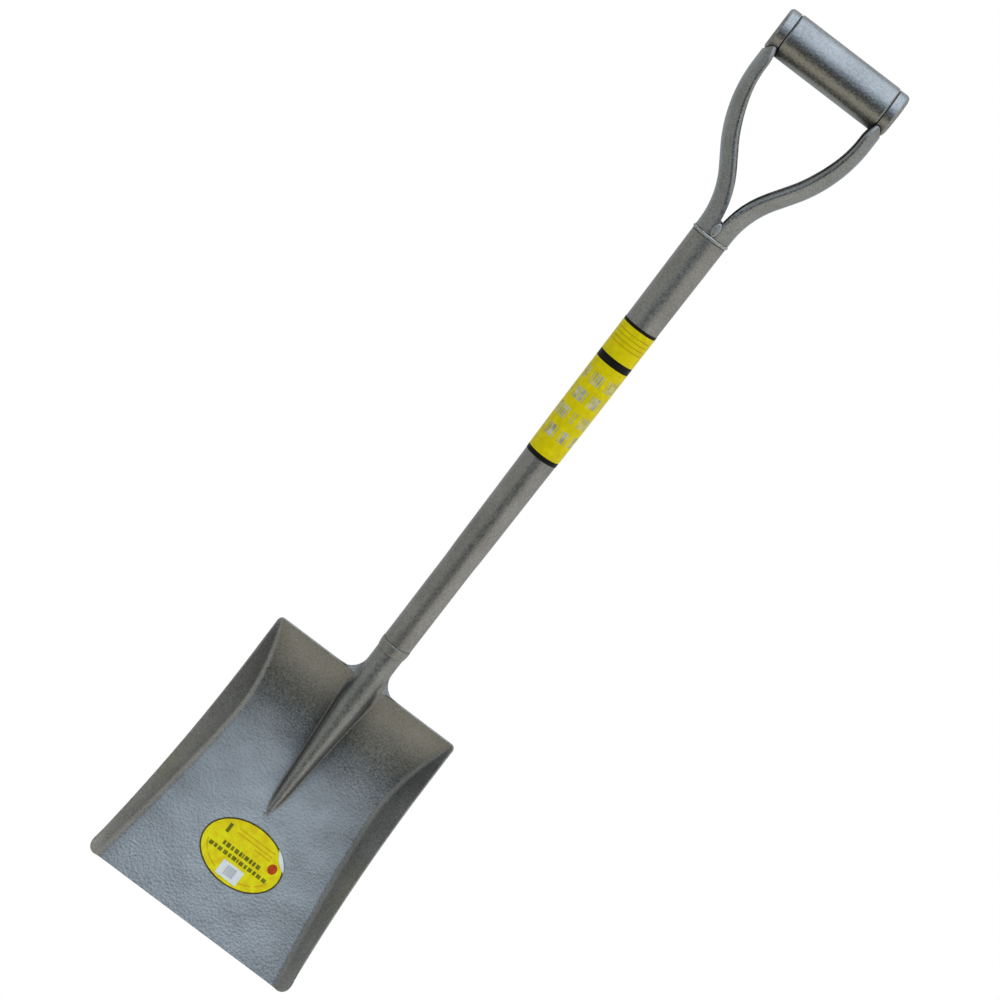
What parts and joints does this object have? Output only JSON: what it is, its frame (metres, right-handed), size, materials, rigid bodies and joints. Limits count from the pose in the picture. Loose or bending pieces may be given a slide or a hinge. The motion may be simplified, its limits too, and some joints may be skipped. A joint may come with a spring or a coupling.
{
  "type": "square mouth shovel",
  "caption": "All-steel square-mouth shovel: pressed tray blade with a frog and open-back socket, tapered tube shaft, and a D handle with a tubular grip.",
  "frame": {"origin": "middle of the blade's mouth edge, halfway through the sheet", "axes": "+Z along the shaft from the blade to the handle, -Y out of the hollow front of the blade, +X to the right seen from the front"},
  "size_m": [0.242, 0.0775, 1.0421],
  "materials": {
    "hammered_paint": "grey hammered paint, satin, finely mottled",
    "painted_weld": "painted weld bead, semi-gloss",
    "rivet_steel": "dull dark steel",
    "bare_steel": "unpainted steel, hidden",
    "shaft_print": "printed yellow film with dark bands",
    "oval_print": "printed yellow film",
    "white_print": "matt white film"
  },
  "bodies": {
    "root": {"blade": "hammered_paint", "socket_weld": "painted_weld", "socket_rivet": "rivet_steel", "shaft_tube": "hammered_paint", "shaft_label": "shaft_print", "yoke_weld": "painted_weld", "yoke_sleeve": "bare_steel", "left_arm": "hammered_paint", "right_arm": "hammered_paint", "front_seam_weld": "painted_weld", "back_seam_weld": "painted_weld", "left_cap_weld": "painted_weld", "right_cap_weld": "painted_weld", "grip_tube": "hammered_paint", "left_grip_cap": "hammered_paint", "right_grip_cap": "hammered_paint", "grip_rod": "rivet_steel", "blade_label": "oval_print", "code_label": "white_print"}
  },
  "joints": []
}
